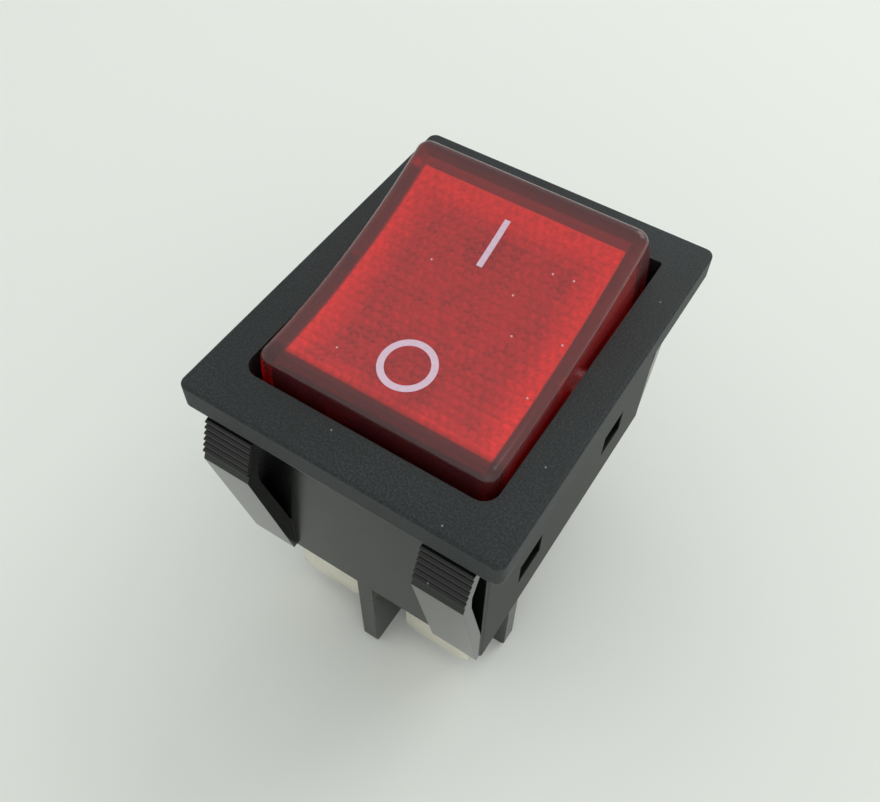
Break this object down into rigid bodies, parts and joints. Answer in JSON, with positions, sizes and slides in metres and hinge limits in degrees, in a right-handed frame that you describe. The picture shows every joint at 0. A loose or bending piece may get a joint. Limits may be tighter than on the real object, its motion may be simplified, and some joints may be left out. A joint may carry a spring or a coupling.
{
  "type": "panel rocker switch",
  "caption": "Snap-in panel rocker switch with a red illuminated rocker, black housing with snap wings, and flat blade terminals underneath.",
  "frame": {"origin": "middle of the panel cut-out, in the plane of the bezel's underside that meets the panel", "axes": "+Z out of the panel towards the user, +Y towards the rocker's ON end, X across the switch; stored in the OFF position"},
  "size_m": [0.025, 0.0332, 0.0358],
  "materials": {
    "black_nylon": "fine matt texture",
    "red_lens": "glossy, tinted clear",
    "white_print": "satin print",
    "white_plastic": "satin",
    "silvered_blade": "satin plated",
    "contact_silver": "satin",
    "contact_strip": "satin",
    "brass_pin": "turned",
    "spring_steel": "satin",
    "lamp_glass": "clear",
    "resistor_body": "lacquered",
    "tinned_wire": "satin"
  },
  "bodies": {
    "housing": {"housing": "black_nylon", "line_terminal_left": "silvered_blade", "common_terminal_left": "silvered_blade", "fixed_contact_left": "contact_silver", "line_terminal_right": "silvered_blade", "common_terminal_right": "silvered_blade", "fixed_contact_right": "contact_silver"},
    "rocker": {"rocker_lens": "red_lens", "on_mark": "white_print", "off_mark": "white_print", "diffuser": "white_plastic", "lamp_carrier": "white_plastic", "neon_lamp": "lamp_glass", "lamp_resistor": "resistor_body", "lamp_lead": "tinned_wire", "link_lead": "tinned_wire", "resistor_lead": "tinned_wire", "plunger_spring_left": "spring_steel", "plunger_spring_right": "spring_steel"},
    "lever_left": {"contact_lever_left": "contact_strip", "moving_contact_left": "contact_silver"},
    "plunger_left": {"plunger_left": "brass_pin"},
    "lever_right": {"contact_lever_right": "contact_strip", "moving_contact_right": "contact_silver"},
    "plunger_right": {"plunger_right": "brass_pin"}
  },
  "joints": [
    {"name": "rocker_hinge", "type": "hinge", "parent": "housing", "child": "rocker", "pos_m": [0, 0, 0.00035], "axis": [-1, 0, 0], "range_deg": [0, 25]},
    {"name": "lever_left_hinge", "type": "hinge", "parent": "housing", "child": "lever_left", "pos_m": [-0.0055, 0, -0.01134], "axis": [1, 0, 0], "range_deg": [0, 9]},
    {"name": "plunger_left_slide", "type": "slide", "parent": "rocker", "child": "plunger_left", "axis": [0, -0.2164, 0.9763], "range_m": [0, 0.0005], "stiffness_N_per_m": 400, "deforming": ["plunger_spring_left"]},
    {"name": "lever_right_hinge", "type": "hinge", "parent": "housing", "child": "lever_right", "pos_m": [0.0055, 0, -0.01134], "axis": [1, 0, 0], "range_deg": [0, 9]},
    {"name": "plunger_right_slide", "type": "slide", "parent": "rocker", "child": "plunger_right", "axis": [0, -0.2164, 0.9763], "range_m": [0, 0.0005], "stiffness_N_per_m": 400, "deforming": ["plunger_spring_right"]}
  ],
  "couplings": [
    {"joint": "lever_left_hinge", "follows": "rocker_hinge", "ratio": 0.36},
    {"joint": "lever_right_hinge", "follows": "rocker_hinge", "ratio": 0.36}
  ]
}
